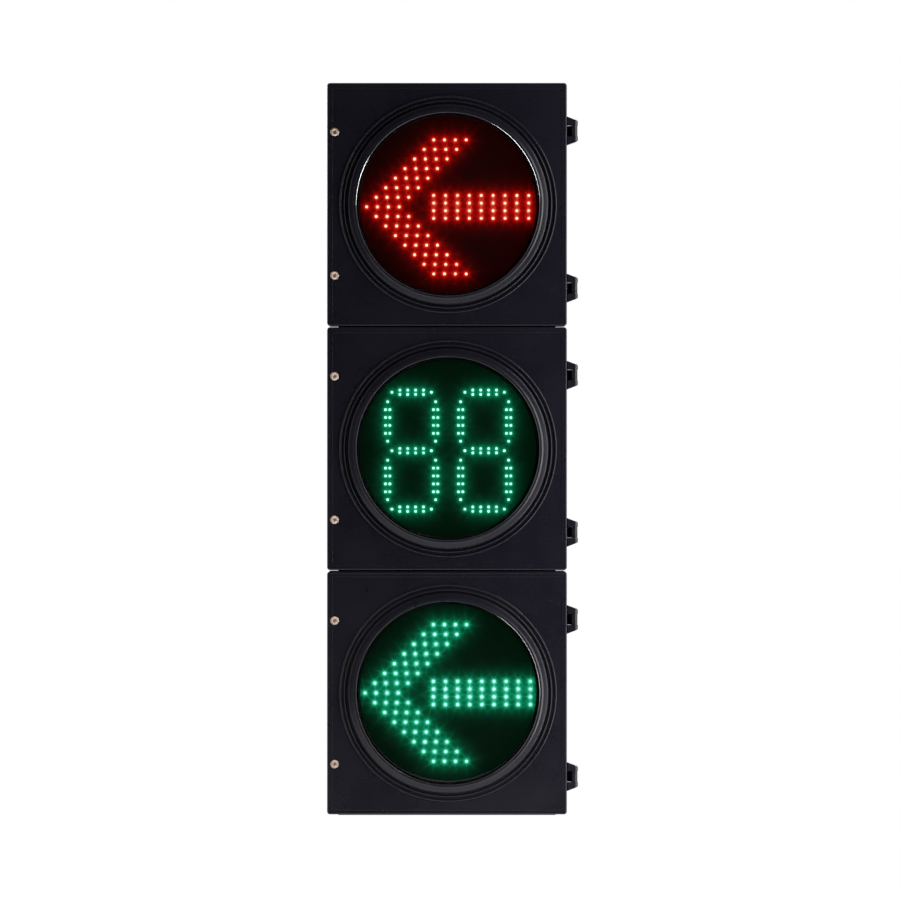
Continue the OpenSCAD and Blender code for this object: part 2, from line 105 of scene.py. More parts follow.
class HeadSizes(bpy.types.PropertyGroup):
    """Sizes of the modelled surfaces that a user may change."""

    edge_round: FloatProperty(
        name="Casting edge",
        description="Rounding of the castings' edges",
        default=0.7 * MM,
        unit="LENGTH",
    )
    small_edge: FloatProperty(
        name="Small edge",
        description="Rounding of the small metal parts' edges",
        default=0.25 * MM,
        unit="LENGTH",
    )
    bead_radius: FloatProperty(
        name="Bead radius",
        description="Radius of the two raised beads round a lens",
        default=2.2 * MM,
        unit="LENGTH",
    )
    wire_radius: FloatProperty(
        name="Lead radius",
        description="Radius of the lead from module to connector",
        default=3.0 * MM,
        unit="LENGTH",
    )
    door_corner: FloatProperty(
        name="Door corner",
        description="Corner radius of a door's outline",
        default=7.0 * MM,
        unit="LENGTH",
    )
    ring_steps: IntProperty(name="Ring steps", description="Steps round a lens", default=256, min=64)


class HeadColours(bpy.types.PropertyGroup):
    """Colours of the main finishes, as sRGB hex."""

    door_coat: StringProperty(name="Door coat", description="Powder coat of the doors", default="#1e1d27")
    housing_coat: StringProperty(
        name="Housing coat", description="Powder coat of the housings", default="#201e26"
    )
    red_lens: StringProperty(name="Red lens", description="Tint of the red lens", default="#2a0302")
    green_lens: StringProperty(name="Green lens", description="Tint of the green lenses", default="#02160c")
    red_lamp: StringProperty(name="Red lamp", description="Colour of a lit red LED", default="#ffd2a8")
    green_lamp: StringProperty(name="Green lamp", description="Colour of a lit green LED", default="#b4ffe6")
    nickel: StringProperty(name="Nickel", description="Colour of the door screws", default="#dcc7b6")


# ---------------------------------------------------------------- small tools


def linear(code):
    """Turns an sRGB hex colour into linear red, green, blue and full alpha."""
    parts = np.array([int(code[k : k + 2], 16) for k in (1, 3, 5)]) / 255
    low = parts / 12.92
    high = ((parts + 0.055) / 1.055) ** 2.4
    return (*np.where(parts <= 0.04045, low, high), 1.0)


def add_node(tree, kind, values=None, links=None, **settings):
    """Adds one shader node, sets its options and input values, and links its inputs."""
    node = tree.nodes.new(kind)
    for key, value in settings.items():
        setattr(node, key, value)
    for key, value in (values or {}).items():
        node.inputs[key].default_value = value
    for key, source in (links or {}).items():
        tree.links.new(source, node.inputs[key])
    return node


def new_material(name):
    """Gives an empty node material and its tree."""
    material = bpy.data.materials.new(name)
    material.use_nodes = True
    material.node_tree.nodes.clear()
    return material, material.node_tree


def finish_material(tree, shader):
    """Links a shader to the material's output."""
    add_node(tree, "ShaderNodeOutputMaterial", links={"Surface": shader.outputs[0]})


def section_centre(section):
    """Centre of a lens: the middle of its gasket's box, in x and z."""
    low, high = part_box(f"lens_gasket_{section}")
    return (low.x + high.x) / 2, (low.z + high.z) / 2


def grid_faces(rows, columns, close_rows=False):
    """Quads between neighbouring points of a grid whose columns go all the way round."""
    last = rows if close_rows else rows - 1
    r = np.arange(last)[:, None]
    c = np.arange(columns)[None, :]
    below, beside = (r + 1) % rows, (c + 1) % columns
    corners = (r * columns + c, r * columns + beside, below * columns + beside, below * columns + c)
    full = [np.broadcast_to(corner, (last, columns)) for corner in corners]
    return np.stack(full, axis=-1).reshape(-1, 4)


def add_piece(name, points, faces, body, material, smooth=True, extra=()):
    """Makes a mesh object from points and faces, with its finish, slot and body."""
    mesh = bpy.data.meshes.new(name)
    polygons = [tuple(face) for face in faces.tolist()] + [tuple(face) for face in extra]
    mesh.from_pydata(points.reshape(-1, 3).tolist(), [], polygons)
    mesh.polygons.foreach_set("use_smooth", [smooth] * len(mesh.polygons))
    mesh.materials.append(material)
    mesh.update()
    piece = bpy.data.objects.new(name, mesh)
    bpy.context.scene.collection.objects.link(piece)
    if body:
        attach(piece, body)
    return piece


def rounded_path(corners, cut, steps=4):
    """Rounds the corners of an open line: each corner becomes a parabola that starts and ends
    at a distance cut from it, or at 45 hundredths of a shorter side."""
    corners = np.asarray(corners, float)
    path = [corners[:1]]
    t = np.linspace(0, 1, steps + 1)[:, None]
    for before, corner, after in zip(corners[:-2], corners[1:-1], corners[2:]):
        one, two = before - corner, after - corner
        start = corner + one * min(cut / np.linalg.norm(one), 0.45)
        end = corner + two * min(cut / np.linalg.norm(two), 0.45)
        path.append((1 - t) ** 2 * start + 2 * t * (1 - t) * corner + t**2 * end)
    path.append(corners[-1:])
    return np.concatenate(path)


def turned_points(profile, centre, steps):
    """Carries a profile of (radius, front) round the axis that points forward from the centre:
    x = centre + radius cos a, y = -front, z = centre + radius sin a."""
    angle = np.linspace(0, 2 * math.pi, steps, endpoint=False)
    radius, front = profile[:, 0:1], profile[:, 1:2]
    x = centre[0] + radius * np.cos(angle)
    z = centre[1] + radius * np.sin(angle)
    y = np.broadcast_to(-front, x.shape)
    return np.stack([x, y, z], axis=-1)


def smooth_path(knots, per_span):
    """Catmull-Rom curve through the knots: each span is the cubic that leaves and meets its
    knots along the line between their neighbours."""
    knots = np.asarray(knots, float)
    padded = np.vstack([2 * knots[0] - knots[1], knots, 2 * knots[-1] - knots[-2]])
    t = np.linspace(0, 1, per_span, endpoint=False)[:, None]
    spans = []
    for a, b, c, d in zip(padded[:-3], padded[1:-2], padded[2:-1], padded[3:]):
        square, cube = 2 * a - 5 * b + 4 * c - d, 3 * b - a - 3 * c + d
        spans.append(0.5 * (2 * b + (c - a) * t + square * t**2 + cube * t**3))
    return np.vstack([*spans, knots[-1:]])


def tube_points(path, radius, sides):
    """Carries a circle along a path. The circle's first axis is turned at each step by the
    least angle that keeps it square to the path."""
    along = np.gradient(path, axis=0)
    along /= np.linalg.norm(along, axis=1, keepdims=True)
    first = np.cross(along[0], [0.3, 0.5, 0.8])
    axes = []
    for direction in along:
        first = first - direction * (first @ direction)
        first /= np.linalg.norm(first)
        axes.append(first)
    one = np.array(axes)
    two = np.cross(along, one)
    angle = np.linspace(0, 2 * math.pi, sides, endpoint=False)
    ring = one[:, None, :] * np.cos(angle)[None, :, None] + two[:, None, :] * np.sin(angle)[None, :, None]
    return path[:, None, :] + radius * ring


def tube(path, radius, sides=12):
    """Points and closed faces of a tube along a path, with a flat cap at each end."""
    points = tube_points(path, radius, sides)
    rows = len(path)
    faces = grid_faces(rows, sides)
    caps = [tuple(range(sides))[::-1], tuple(range((rows - 1) * sides, rows * sides))]
    return points.reshape(-1, 3), faces, caps


def softened_copy(node, name, width, material, angle=35):
    """A copy of a CAD node with merged points, flat faces joined, and rounded edges. It takes
    the node's place and rides on its body."""
    source = frame["nodes"][node]
    mesh = source.data.copy()
    mesh.name = name
    piece = bpy.data.objects.new(name, mesh)
    bpy.context.scene.collection.objects.link(piece)
    mesh.materials.clear()
    mesh.materials.append(material)
    shape = bmesh.new()
    shape.from_mesh(mesh)
    bmesh.ops.remove_doubles(shape, verts=shape.verts, dist=0.00001)
    bmesh.ops.dissolve_limit(
        shape,
        angle_limit=math.radians(0.6),
        use_dissolve_boundaries=False,
        verts=shape.verts,
        edges=shape.edges,
    )
    for face in shape.faces:
        face.smooth = True
        face.material_index = 0
    shape.to_mesh(mesh)
    shape.free()
    bevel = piece.modifiers.new("edge", "BEVEL")
    bevel.width = width
    bevel.segments = 2
    bevel.limit_method = "ANGLE"
    bevel.angle_limit = math.radians(angle)
    bevel.use_clamp_overlap = True
    even = piece.modifiers.new("even_shading", "WEIGHTED_NORMAL")
    even.mode = "FACE_AREA"
    even.weight = 100
    even.keep_sharp = True
    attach(piece, source["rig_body"])
    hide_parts(node)
    return piece


# ---------------------------------------------------------------- finishes


def coat_material(name, code, gloss, dust_code):
    """Polyester powder coat, sprayed dry and baked on die-cast aluminium: a deep colour, a
    faint orange-peel ripple a few millimetres across, fine grit and a little pale dust."""
    material, tree = new_material(name)
    place = add_node(tree, "ShaderNodeTexCoord").outputs["Object"]
    peel = add_node(
        tree,
        "ShaderNodeTexNoise",
        {"Scale": 1 / (3.2 * MM), "Detail": 2.0, "Roughness": 0.5},
        {"Vector": place},
    )
    # grit is drawn at 1.1 mm, coarser than the real coat's, so that it shows
    grit = add_node(tree, "ShaderNodeTexNoise", {"Scale": 1 / (1.1 * MM), "Detail": 1.0}, {"Vector": place})
    cloud = add_node(
        tree,
        "ShaderNodeTexNoise",
        {"Scale": 1 / (140 * MM), "Detail": 5.0, "Roughness": 0.62},
        {"Vector": place},
    )
    spread = add_node(
        tree,
        "ShaderNodeMapRange",
        {"From Min": 0.35, "From Max": 0.75, "To Min": 0.0, "To Max": 0.16},
        {"Value": cloud.outputs["Fac"]},
    )
    colour = add_node(
        tree,
        "ShaderNodeMix",
        {6: linear(code), 7: linear(dust_code)},
        {0: spread.outputs["Result"]},
        data_type="RGBA",
    )
    rough = add_node(
        tree,
        "ShaderNodeMapRange",
        {"From Min": 0.3, "From Max": 0.7, "To Min": gloss - 0.05, "To Max": gloss + 0.07},
        {"Value": cloud.outputs["Fac"]},
    )
    ripple = add_node(
        tree, "ShaderNodeBump", {"Strength": 0.10, "Distance": 0.25 * MM}, {"Height": peel.outputs["Fac"]}
    )
    grain = add_node(
        tree,
        "ShaderNodeBump",
        {"Strength": 0.12, "Distance": 0.08 * MM},
        {"Height": grit.outputs["Fac"], "Normal": ripple.outputs["Normal"]},
    )
    shader = add_node(
        tree,
        "ShaderNodeBsdfPrincipled",
        {"IOR": 1.5},
        {
            "Base Color": colour.outputs[2],
            "Roughness": rough.outputs["Result"],
            "Normal": grain.outputs["Normal"],
        },
    )
    finish_material(tree, shader)
    return material


def lens_material(name, code):
    """Tinted clear polycarbonate, injection moulded: a hard gloss with a very faint flow ripple,
    dark until the lamps behind it shine through."""
    material, tree = new_material(name)
    place = add_node(tree, "ShaderNodeTexCoord").outputs["Object"]
    flow = add_node(tree, "ShaderNodeTexNoise", {"Scale": 1 / (60 * MM), "Detail": 2.0}, {"Vector": place})
    ripple = add_node(
        tree, "ShaderNodeBump", {"Strength": 0.04, "Distance": 0.5 * MM}, {"Height": flow.outputs["Fac"]}
    )
    shade = add_node(
        tree,
        "ShaderNodeMapRange",
        {"From Min": 0.3, "From Max": 0.7, "To Min": 0.05, "To Max": 0.09},
        {"Value": flow.outputs["Fac"]},
    )
    shader = add_node(
        tree,
        "ShaderNodeBsdfPrincipled",
        {"Base Color": linear(code), "IOR": 1.58, "Alpha": 0.34, "Coat Weight": 0.5, "Coat Roughness": 0.03},
        {"Roughness": shade.outputs["Result"], "Normal": ripple.outputs["Normal"]},
    )
    finish_material(tree, shader)
    return material


def lamp_material(name, code, strength):
    """Water-clear epoxy LED, cast in a mould and lit: one pale emitting colour whose strength varies softly
    across the lamps.
    """
    material, tree = new_material(name)
    place = add_node(tree, "ShaderNodeTexCoord").outputs["Object"]
    flicker = add_node(tree, "ShaderNodeTexNoise", {"Scale": 1 / (30 * MM), "Detail": 1.0}, {"Vector": place})
    bright = add_node(
        tree,
        "ShaderNodeMapRange",
        {"From Min": 0.3, "From Max": 0.7, "To Min": strength * 0.8, "To Max": strength * 1.2},
        {"Value": flicker.outputs["Fac"]},
    )
    shader = add_node(
        tree,
        "ShaderNodeBsdfPrincipled",
        {"Base Color": linear(code), "Roughness": 0.15, "IOR": 1.52, "Emission Color": linear(code)},
        {"Emission Strength": bright.outputs["Result"]},
    )
    finish_material(tree, shader)
    return material


def painted_glow_material(name, stops, board_code):
    """Glass-fibre circuit board with black solder mask, with painted light on it: emission painted round each
    LED stands in for the light that falls on the board, fading with distance as a point attribute says, over
    a fine pattern of copper tracks."""
    material, tree = new_material(name)
    painted_glow = add_node(tree, "ShaderNodeAttribute", attribute_name="painted_glow")
    ramp = add_node(tree, "ShaderNodeValToRGB", links={"Fac": painted_glow.outputs["Fac"]})
    points = ramp.color_ramp.elements
    points[0].position, points[0].color = stops[0][0], (*stops[0][1], 1)
    points[1].position, points[1].color = stops[-1][0], (*stops[-1][1], 1)
    for position, colour in stops[1:-1]:
        points.new(position).color = (*colour, 1)
    place = add_node(tree, "ShaderNodeTexCoord").outputs["Object"]
    tracks = add_node(
        tree, "ShaderNodeTexVoronoi", {"Scale": 1 / (9 * MM)}, {"Vector": place}, distance="MANHATTAN"
    )
    bump = add_node(
        tree,
        "ShaderNodeBump",
        {"Strength": 0.3, "Distance": 0.1 * MM},
        {"Height": tracks.outputs["Distance"]},
    )
    # painted light: the board emits the ramp's colour, though it is no lamp
    shader = add_node(
        tree,
        "ShaderNodeBsdfPrincipled",
        {"Base Color": linear(board_code), "Roughness": 0.4, "Emission Strength": 1.0},
        {"Emission Color": ramp.outputs["Color"], "Normal": bump.outputs["Normal"]},
    )
    finish_material(tree, shader)
    return material


# Each row: base colour, second colour, metal, low and high roughness, grain in mm, bump in mm.
FINISHES = {
    # extruded EPDM rubber: matt, with a dusty bloom
    "epdm": ("#141414", "#26262a", 0, 0.7, 0.9, 1.2, 0.06),
    # injection-moulded black ABS with a spark-eroded texture
    "module_plastic": ("#1a1a1d", "#242428", 0, 0.45, 0.6, 0.9, 0.06),
    # extruded aluminium case, clear anodised
    "driver_case": ("#9fa3a8", "#8b8f95", 1, 0.3, 0.42, 4.0, 0.02),
    # rolled spring steel, tumbled after stamping
    "spring_steel": ("#a8a9ac", "#8d8e92", 1, 0.28, 0.42, 2.0, 0.03),
    # turned stainless steel
    "pin_steel": ("#b4b5b8", "#96979b", 1, 0.22, 0.34, 0.8, 0.02),
    # turned brass screw under nickel plate: warm grey, lightly tarnished
    "nickel_screw": ("#e6d3c4", "#b89f8c", 1, 0.3, 0.42, 1.5, 0.03),
    # zinc-plated, passivated steel: cool with faint yellow clouds
    "zinc_steel": ("#b9bcc2", "#b3ad97", 1, 0.3, 0.45, 6.0, 0.02),
    # extruded PVC cable jacket
    "cable_jacket": ("#202023", "#2c2c30", 0, 0.42, 0.58, 5.0, 0.05),
    # moulded polyamide terminal body
    "terminal_plastic": ("#d3cfc0", "#c4bfae", 0, 0.4, 0.5, 1.5, 0.04),
    # turned brass
    "brass_screw": ("#c9a353", "#a8833a", 1, 0.25, 0.4, 1.0, 0.02),
    # moulded natural nylon
    "connector_plastic": ("#e2dfd4", "#d2cdbd", 0, 0.35, 0.48, 1.8, 0.04),
    # moulded black polyamide
    "gland_plastic": ("#19191b", "#232326", 0, 0.4, 0.55, 1.0, 0.05),
}


def plain_material(name):
    """A finish from the table: two colours in soft clouds, uneven roughness and a fine grain."""
    base, second, metal, low, high, grain_mm, bump_mm = FINISHES[name]
    material, tree = new_material(name)
    place = add_node(tree, "ShaderNodeTexCoord").outputs["Object"]
    cloud = add_node(
        tree,
        "ShaderNodeTexNoise",
        {"Scale": 1 / (18 * MM), "Detail": 5.0, "Roughness": 0.6},
        {"Vector": place},
    )
    grain = add_node(
        tree, "ShaderNodeTexNoise", {"Scale": 1 / (grain_mm * MM), "Detail": 2.0}, {"Vector": place}
    )
    colour = add_node(
        tree,
        "ShaderNodeMix",
        {6: linear(base), 7: linear(second)},
        {0: cloud.outputs["Fac"]},
        data_type="RGBA",
    )
    rough = add_node(
        tree,
        "ShaderNodeMapRange",
        {"From Min": 0.3, "From Max": 0.7, "To Min": low, "To Max": high},
        {"Value": cloud.outputs["Fac"]},
    )
    bump = add_node(
        tree, "ShaderNodeBump", {"Strength": 0.4, "Distance": bump_mm * MM}, {"Height": grain.outputs["Fac"]}
    )
    shader = add_node(
        tree,
        "ShaderNodeBsdfPrincipled",
        {"Metallic": float(metal)},
        {
            "Base Color": colour.outputs[2],
            "Roughness": rough.outputs["Result"],
            "Normal": bump.outputs["Normal"],
        },
    )
    finish_material(tree, shader)
    return material


def screw_head_material(code):
    """Turned brass under nickel plate, darker and browner in the driver recess and round the rim as a point
    attribute says, with soft uneven clouds over it."""
    material, tree = new_material("nickel_darkened_recess_rim")
    recess_rim_darkening = add_node(tree, "ShaderNodeAttribute", attribute_name="recess_rim_darkening")
    place = add_node(tree, "ShaderNodeTexCoord").outputs["Object"]
    cloud = add_node(tree, "ShaderNodeTexNoise", {"Scale": 1 / (4 * MM), "Detail": 3.0}, {"Vector": place})
    uneven = add_node(
        tree,
        "ShaderNodeMapRange",
        {"From Min": 0.3, "From Max": 0.7, "To Min": -0.12, "To Max": 0.12},
        {"Value": cloud.outputs["Fac"]},
    )
    # darker, browner and rougher where the attribute is high: in the driver recess and round the rim
    darkening_amount = add_node(
        tree, "ShaderNodeMath", links={0: recess_rim_darkening.outputs["Fac"], 1: uneven.outputs["Result"]}, operation="ADD"
    )
    colour = add_node(
        tree, "ShaderNodeMix", {6: linear(code), 7: linear("#a07c62")}, {0: darkening_amount.outputs[0]}, data_type="RGBA"
    )
    rough = add_node(
        tree, "ShaderNodeMapRange", {"To Min": 0.3, "To Max": 0.55}, {"Value": darkening_amount.outputs[0]}
    )
    shader = add_node(
        tree,
        "ShaderNodeBsdfPrincipled",
        {"Metallic": 1.0},
        {"Base Color": colour.outputs[2], "Roughness": rough.outputs["Result"]},
    )
    finish_material(tree, shader)
    return material


def finish_named(name):
    """The table finish of this name, made the first time it is asked for."""
    return bpy.data.materials.get(name) or plain_material(name)


# Painted light on the board round one lamp, drawn as emission: height and spread of its painted halo, and
# height of its wide painted skirt.
HALOS = {
    "top": (0.80, 5.2 * MM, 0.30),
    "middle": (0.44, 4.0 * MM, 0.08),
    "bottom": (0.84, 4.5 * MM, 0.25),
}
# Colour of that painted light: glow value and linear colour.
RED_GLOW = [
    (0.0, (0.006, 0.0, 0.0)),
    (0.50, (0.74, 0.001, 0.001)),
    (0.75, (1.2, 0.03, 0.02)),
    (1.0, (1.5, 0.28, 0.18)),
]
GREEN_GLOW = [
    (0.0, (0.0, 0.008, 0.002)),
    (0.10, (0.0003, 0.15, 0.058)),
    (0.50, (0.006, 0.72, 0.32)),
    (0.75, (0.22, 1.45, 1.0)),
    (1.0, (0.6, 1.8, 1.6)),
]


# ---------------------------------------------------------------- operators


class SIGNAL_OT_castings(bpy.types.Operator):
    """Gives the housings and doors rounded edges and their powder coat."""

    bl_idname = "signal.castings"
    bl_label = "Castings"

    def execute(self, context):
        sizes, colours = context.scene.head_sizes, context.scene.head_colours
        housing = coat_material("powder_coat_housing", colours.housing_coat, 0.30, "#302e37")
        door = coat_material("powder_coat_door", colours.door_coat, 0.27, "#302e38")
        for section in SECTIONS:
            softened_copy(
                f"housing_{section}", f"housing_casting_{section}", sizes.edge_round, housing
            )
            softened_copy(
                f"door_{section}", f"door_casting_{section}", sizes.edge_round, door
            )
        return {"FINISHED"}


class SIGNAL_OT_lenses(bpy.types.Operator):
    """Builds each domed lens with its rounded shoulder and clamped flange."""

    bl_idname = "signal.lenses"
    bl_label = "Lenses"

    def execute(self, context):
        sizes, colours = context.scene.head_sizes, context.scene.head_colours
        tints = {
            "top": lens_material("tinted_polycarbonate_red", colours.red_lens),
            "middle": lens_material("tinted_polycarbonate_green", colours.green_lens),
        }
        tints["bottom"] = tints["middle"]
        for section in SECTIONS:
            low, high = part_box(f"lens_{section}")
            centre = section_centre(section)
            flange = (high.x - low.x) / 2
            back, front = -high.y, -low.y
            shoulder, wall, rise = 6 * MM, 3 * MM, 5 * MM
            outer = flange - 10 * MM
            inner = outer - shoulder
            turn = np.radians(np.linspace(90, 0, 9))
            dome = np.linspace(0.004, 1, 40)
            profile = [
                *[(r * inner, front - rise * r * r) for r in dome],
                *[
                    (inner + shoulder * math.cos(a), front - rise - shoulder + shoulder * math.sin(a))
                    for a in turn[1:]
                ],
                (outer, back + wall + 0.4 * MM),
                (outer + 0.4 * MM, back + wall),
                (flange, back + wall),
                (flange, back),
                (outer - wall, back),
                *[
                    (
                        inner + (shoulder - wall) * math.cos(a),
                        front - rise - shoulder + (shoulder - wall) * math.sin(a),
                    )
                    for a in turn[::-1]
                ],
                *[(r * inner, front - wall - rise * r * r) for r in dome[::-1][1:]],
            ]
            profile = np.array(profile)
            points = turned_points(profile, centre, sizes.ring_steps)
            steps = sizes.ring_steps
            faces = grid_faces(len(profile), steps)[:, ::-1]
            last = (len(profile) - 1) * steps
            caps = [tuple(range(steps)), tuple(range(last, last + steps))[::-1]]
            piece = add_piece(
                f"lens_dome_{section}", points, faces, f"door_{section}", tints[section], extra=caps
            )
            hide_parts(f"lens_{section}")
        return {"FINISHED"}


def outline_points(width, height, corner, per_corner=7):
    """Points round a rectangle with rounded corners, as (x, z) about its centre: each corner is
    a quarter circle, and the straight sides join them."""
    points = []
    for number, (right, up) in enumerate(((1, 1), (-1, 1), (-1, -1), (1, -1))):
        angle = math.pi / 2 * (number + np.linspace(0, 1, per_corner))
        x = right * (width / 2 - corner) + corner * np.cos(angle)
        z = up * (height / 2 - corner) + corner * np.sin(angle)
        points.append(np.stack([x, z], axis=-1))
    return np.vstack(points)


class SIGNAL_OT_borders(bpy.types.Operator):
    """Builds the rolled border that runs round each door's face: a soft outer roll and, inside
    it, a fine raised line. It has no openings for the door screws, which pass through its
    inner edge when they are screwed in."""

    bl_idname = "signal.borders"
    bl_label = "Door borders"

    def execute(self, context):
        coat = bpy.data.materials["powder_coat_door"]
        corner = context.scene.head_sizes.door_corner
        # each row: distance in from the door's edge and height over its face, in mm
        roll = (
            (0.15, -3.4),
            (0.0, -2.4),
            (0.25, -1.3),
            (0.9, -0.45),
            (1.9, 0.15),
            (3.1, 0.42),
            (4.4, 0.30),
            (5.4, 0.06),
            (9.6, 0.05),
            (10.3, 0.14),
            (11.1, 0.17),
            (11.9, 0.13),
            (12.6, -0.1),
            (12.6, -1.0),
        )
        for section in SECTIONS:
            low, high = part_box(f"door_{section}")
            face = -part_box(f"door_gasket_{section}")[0].y + GASKET_TO_FACE
            middle = (low.z + high.z) / 2
            rows = []
            for inset, height in roll:
                flat = outline_points(
                    -2 * (low.x + inset * MM),
                    high.z - low.z - 2 * inset * MM,
                    max(corner - inset * MM, 0.6 * MM),
                )
                depth = np.full(len(flat), -face - height * MM)
                rows.append(np.stack([flat[:, 0], depth, flat[:, 1] + middle], axis=-1))
            points = np.array(rows)
            faces = grid_faces(len(rows), points.shape[1], close_rows=True)
            add_piece(f"door_border_{section}", points, faces, f"door_{section}", coat)
        return {"FINISHED"}


class SIGNAL_OT_bezels(bpy.types.Operator):
    """Builds the turned bezel round each lens: lip, sloping band, grooves and two beads."""

    bl_idname = "signal.bezels"
    bl_label = "Bezels"

    def execute(self, context):
        sizes, colours = context.scene.head_sizes, context.scene.head_colours
        coat = bpy.data.materials["powder_coat_door"]
        polished = coat_material("polished_coat", colours.door_coat, 0.13, "#3a3843")
        for section in SECTIONS:
            low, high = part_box(f"lens_{section}")
            lens = (high.x - low.x) / 2 - 11 * MM
            face = -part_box(f"door_gasket_{section}")[0].y + GASKET_TO_FACE
            collar = -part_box(f"door_{section}")[0].y

            def bead(radius, front):
                turn = np.radians(np.linspace(185, -5, 13))
                return [
                    (radius + sizes.bead_radius * math.cos(a), front + sizes.bead_radius * math.sin(a))
                    for a in turn
                ]

            inside = rounded_path(
                np.array(
                    [
                        (lens + 3.6 * MM, face - 2.5 * MM),
                        (lens + 3.6 * MM, collar - 0.9 * MM),
                        (lens + 5.4 * MM, collar + 0.1 * MM),
                        (lens + 9.8 * MM, collar - 2.3 * MM),
                        (lens + 18.6 * MM, collar - 5.0 * MM),
                        (lens + 19.9 * MM, face - 1.55 * MM),
                        (lens + 24.5 * MM, face - 1.55 * MM),
                    ]
                ),
                1.0 * MM,
            )
            profile = np.vstack(
                [
                    inside,
                    bead(lens + 27.4 * MM, face + 1.6 * MM),
                    [(lens + 30.0 * MM, face - 1.55 * MM), (lens + 35.0 * MM, face - 1.55 * MM)],
                    bead(lens + 37.5 * MM, face + 0.8 * MM),
                    [(lens + 40.3 * MM, face + 0.03 * MM), (lens + 40.3 * MM, face - 2.4 * MM)],
                ]
            )
            points = turned_points(profile, section_centre(section), sizes.ring_steps)
            faces = grid_faces(len(profile), sizes.ring_steps, close_rows=True)[:, ::-1]
            add_piece(f"lens_bezel_{section}", points, faces, f"door_{section}", coat)

            rim = rounded_path(
                np.array(
                    [
                        (lens + 0.9 * MM, face - 2.5 * MM),
                        (lens + 0.9 * MM, collar - 3.9 * MM),
                        (lens + 4.3 * MM, collar - 0.85 * MM),
                        (lens + 5.0 * MM, collar - 3.4 * MM),
                    ]
                ),
                0.35 * MM,
            )
            points = turned_points(rim, section_centre(section), sizes.ring_steps)
            faces = grid_faces(len(rim), sizes.ring_steps, close_rows=True)[:, ::-1]
            add_piece(f"lens_rim_{section}", points, faces, f"door_{section}", polished)
        return {"FINISHED"}


def lamp_centres(section):
    """Centres of a section's LEDs in x and z: the middle of each loose part of the CAD mesh. Points
    joined by an edge take the lowest number among them until nothing changes."""
    mesh = frame["nodes"][f"leds_{section}"].data
    points = np.empty(len(mesh.vertices) * 3)
    mesh.vertices.foreach_get("co", points)
    edges = np.empty(len(mesh.edges) * 2, dtype=np.int64)
    mesh.edges.foreach_get("vertices", edges)
    places, same = np.unique(np.round(points.reshape(-1, 3) / (0.01 * MM)), axis=0, return_inverse=True)
    edges = same.ravel()[edges.reshape(-1, 2)]
    label = np.arange(len(places))
    while True:
        lower = label.copy()
        np.minimum.at(lower, edges[:, 0], label[edges[:, 1]])
        np.minimum.at(lower, edges[:, 1], label[edges[:, 0]])
        if (lower == label).all():
            break
        label = lower
    places = places[:, (0, 2)] * 0.01 * MM
    parts = [places[label == number] for number in np.unique(label)]
    return np.array([(part.min(0) + part.max(0)) / 2 for part in parts])


class SIGNAL_OT_lamps(bpy.types.Operator):
    """Lights the LEDs and builds each board with painted light round them: an emitting halo and skirt drawn
    where the LEDs' light would fall.
    """

    bl_idname = "signal.lamps"
    bl_label = "Lamps"

    def execute(self, context):
        colours = context.scene.head_colours
        red = lamp_material("lit_epoxy_red", colours.red_lamp, 3.0)
        green = lamp_material("lit_epoxy_green", colours.green_lamp, 2.6)
        red_board = painted_glow_material("solder_mask_painted_red_glow", RED_GLOW, "#0c0505")
        green_board = painted_glow_material("solder_mask_painted_green_glow", GREEN_GLOW, "#040a07")
        for section in SECTIONS:
            is_red = section == "top"
            node = frame["nodes"][f"leds_{section}"]
            node.data.materials.clear()
            node.data.materials.append(red if is_red else green)
            low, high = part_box(f"led_board_{section}")
            centre = section_centre(section)
            radius = (high.x - low.x) / 2
            rings, steps = 130, 480
            across = np.linspace(0.001, 1, rings)[:, None] * radius
            angle = np.linspace(0, 2 * math.pi, steps, endpoint=False)[None, :]
            x, z = centre[0] + across * np.cos(angle), centre[1] + across * np.sin(angle)
            front = np.stack([x, np.full_like(x, low.y), z], axis=-1)
            back = np.stack([x[-1], np.full_like(x[-1], high.y), z[-1]], axis=-1)
            points = np.concatenate([front, back[None]], axis=0)
            faces = grid_faces(rings + 1, steps)[:, ::-1]
            caps = [tuple(range(steps)), tuple(range(rings * steps, (rings + 1) * steps))[::-1]]
            piece = add_piece(
                f"painted_glow_board_{section}",
                points,
                faces,
                f"door_{section}",
                red_board if is_red else green_board,
                smooth=False,
                extra=caps,
            )
            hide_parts(f"led_board_{section}")
            flat = points.reshape(-1, 3)[:, (0, 2)]
            painted_glow = np.zeros(len(flat))
            height, spread, skirt = HALOS[section]
            for number, lamp in enumerate(lamp_centres(section)):
                away = flat - lamp
                far = np.linalg.norm(away, axis=1)
                # a painted bell-shaped halo, and a painted skirt with faint painted rays, for the light that
                # the lens's facets draw out
                spokes = np.clip(np.cos(7 * np.arctan2(away[:, 1], away[:, 0]) + 2.4 * number), 0, 1) ** 5
                rays = 0.8 + 2.2 * spokes * np.clip(far / spread - 0.8, 0, 1)
                halo = height * np.exp(-0.5 * (far / spread) ** 2)
                painted_glow += halo + skirt * rays * np.exp(-far / (9 * MM))
            attribute = piece.data.attributes.new("painted_glow", "FLOAT", "POINT")
            attribute.data.foreach_set("value", np.clip(painted_glow, 0, 1).astype(np.float32))
        return {"FINISHED"}


